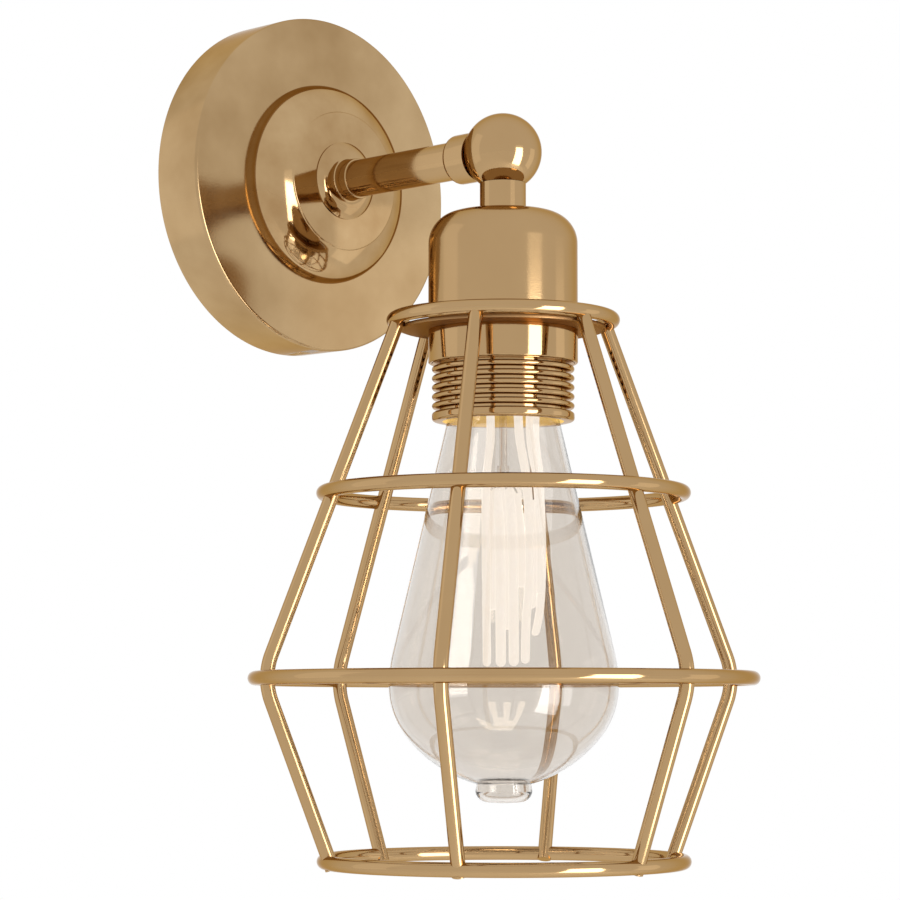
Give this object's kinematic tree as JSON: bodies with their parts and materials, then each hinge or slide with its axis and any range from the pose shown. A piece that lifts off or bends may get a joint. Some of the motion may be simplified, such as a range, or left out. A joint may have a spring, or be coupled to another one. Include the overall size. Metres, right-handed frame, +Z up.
{
  "type": "cage wall light",
  "caption": "Wall light with a round plate, stepped rosette, short arm, ball swivel, ribbed lampholder, round wire cage and pear-shaped filament bulb.",
  "frame": {"origin": "on the wall, at the centre of the round wall plate", "axes": "+Z up, +Y into the wall, so the arm points along -Y, and +X to the right seen from the room; the arm's axis is the line x = 0, z = 0"},
  "size_m": [0.1422, 0.1626, 0.2509],
  "materials": {
    "polished_brass": "polished, lacquered",
    "bare_brass": "plain turned",
    "zinc_steel": "zinc plated",
    "white_plastic": "moulded",
    "black_plastic": "moulded",
    "black_rubber": "plain",
    "nickel_contact": "nickel plated",
    "nickel_cap": "nickel plated",
    "black_glass": "vitrified",
    "solder": "soldered",
    "lead_metal": "drawn",
    "glowing_filament": "glowing",
    "clear_glass": "clear, blown"
  },
  "bodies": {
    "wall_mount": {"mounting_strap": "zinc_steel", "wall_plate": "polished_brass", "grub_screw_top": "polished_brass", "grub_screw_bottom": "polished_brass", "earth_screw": "bare_brass", "terminal_block": "white_plastic", "rosette": "polished_brass", "arm_cone": "polished_brass", "root_tube": "zinc_steel", "arm_washer": "zinc_steel", "arm_nut": "zinc_steel", "arm_tube": "polished_brass", "socket_collar": "polished_brass", "stop_pin": "zinc_steel"},
    "head": {"ball": "polished_brass", "swivel_tube": "zinc_steel", "stop_washer": "zinc_steel", "swivel_nut": "zinc_steel", "neck": "polished_brass", "neck_seal": "black_rubber", "neck_tube": "zinc_steel", "cup": "polished_brass", "cup_nut": "zinc_steel", "holder_core": "black_plastic", "holder_terminals": "bare_brass", "screw_shell": "nickel_contact", "centre_contact": "nickel_contact", "threaded_skirt": "polished_brass"},
    "shade_ring": {"shade_ring": "polished_brass"},
    "cage": {"gallery_plate": "polished_brass", "top_ring": "polished_brass", "upper_ring": "polished_brass", "wide_ring": "polished_brass", "bottom_ring": "polished_brass", "rib_1": "polished_brass", "rib_2": "polished_brass", "rib_3": "polished_brass", "rib_4": "polished_brass", "rib_5": "polished_brass", "rib_6": "polished_brass"},
    "bulb": {"bulb_glass": "clear_glass", "bulb_cap": "nickel_cap", "cap_insulator": "black_glass", "cap_contact": "solder", "glass_stem": "clear_glass", "lead_wires": "lead_metal", "support_wires": "lead_metal", "filament": "glowing_filament"}
  },
  "joints": [
    {"name": "head_swivel", "type": "hinge", "parent": "wall_mount", "child": "head", "pos_m": [0, -0.0915, 0], "axis": [0, 1, 0], "range_deg": [-165, 165]},
    {"name": "ring_travel", "type": "slide", "parent": "head", "child": "shade_ring", "axis": [0, 0, -1], "range_m": [0, 0.025]},
    {"name": "cage_turn", "type": "hinge", "parent": "shade_ring", "child": "cage", "pos_m": [0, -0.0915, 0], "axis": [0, 0, 1], "continuous": true},
    {"name": "bulb_travel", "type": "slide", "parent": "head", "child": "bulb", "axis": [0, 0, -1], "range_m": [0, 0.025]}
  ]
}
